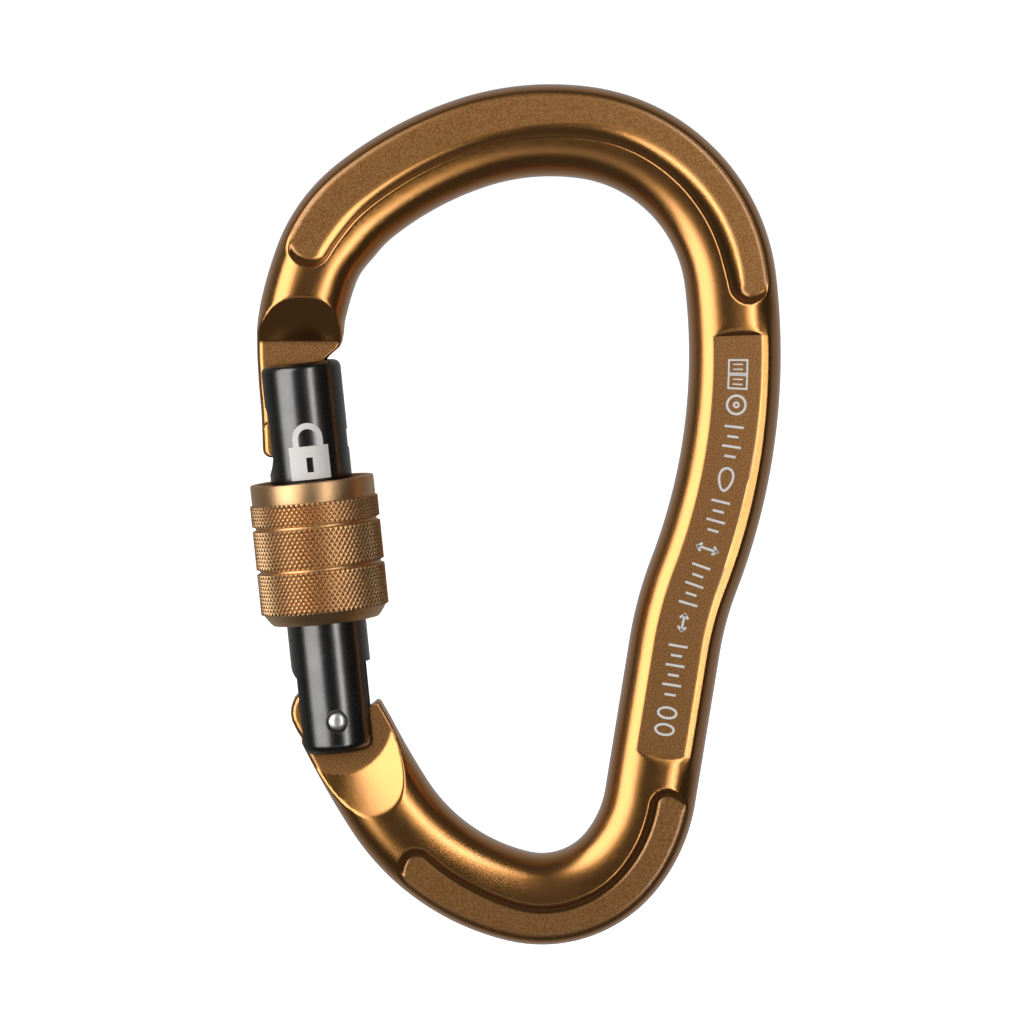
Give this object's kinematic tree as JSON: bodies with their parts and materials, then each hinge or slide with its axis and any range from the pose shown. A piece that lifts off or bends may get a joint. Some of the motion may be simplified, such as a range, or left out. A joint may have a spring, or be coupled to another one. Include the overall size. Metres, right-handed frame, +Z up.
{
  "type": "locking carabiner",
  "caption": "Pear-shaped screw-lock carabiner with a forged frame, a slotted round gate and a knurled locking sleeve.",
  "frame": {"origin": "the inner bearing point of the wide top bow, on the carabiner's middle plane", "axes": "+Z up along the carabiner's length, from the narrow bow to the wide bow; +X towards the spine, with the gate at -X; Y is through the thickness and the front is -Y"},
  "size_m": [0.0753, 0.0182, 0.1223],
  "materials": {
    "bronze_anodised": "satin bronze-gold anodised aluminium",
    "black_anodised": "semi-gloss black anodised aluminium",
    "rivet_steel": "bright stainless steel, lightly hammered head",
    "spring_steel": "plain drawn spring wire",
    "plunger_steel": "plain turned stainless steel"
  },
  "bodies": {
    "frame": {"body": "bronze_anodised"},
    "gate": {"gate": "black_anodised", "hinge_rivet": "rivet_steel", "gate_spring": "spring_steel"},
    "sleeve": {"locking_sleeve": "bronze_anodised"},
    "plunger": {"spring_plunger": "plunger_steel"}
  },
  "joints": [
    {"name": "gate_hinge", "type": "hinge", "parent": "frame", "child": "gate", "pos_m": [-0.0301, 0, -0.0769], "axis": [0, 1, 0], "range_deg": [0, 26], "stiffness_Nm_per_rad": 0.3, "springref_deg": -57.3},
    {"name": "sleeve_travel", "type": "slide", "parent": "gate", "child": "sleeve", "axis": [-0.1011, 0, 0.9949], "range_m": [0, 0.011]},
    {"name": "plunger_travel", "type": "slide", "parent": "gate", "child": "plunger", "axis": [-0.1011, 0, 0.9949], "range_m": [0, 0.0012], "deforming": ["gate_spring"]}
  ],
  "couplings": [
    {"joint": "plunger_travel", "follows": "gate_hinge", "m_per_rad": 0.0025}
  ]
}
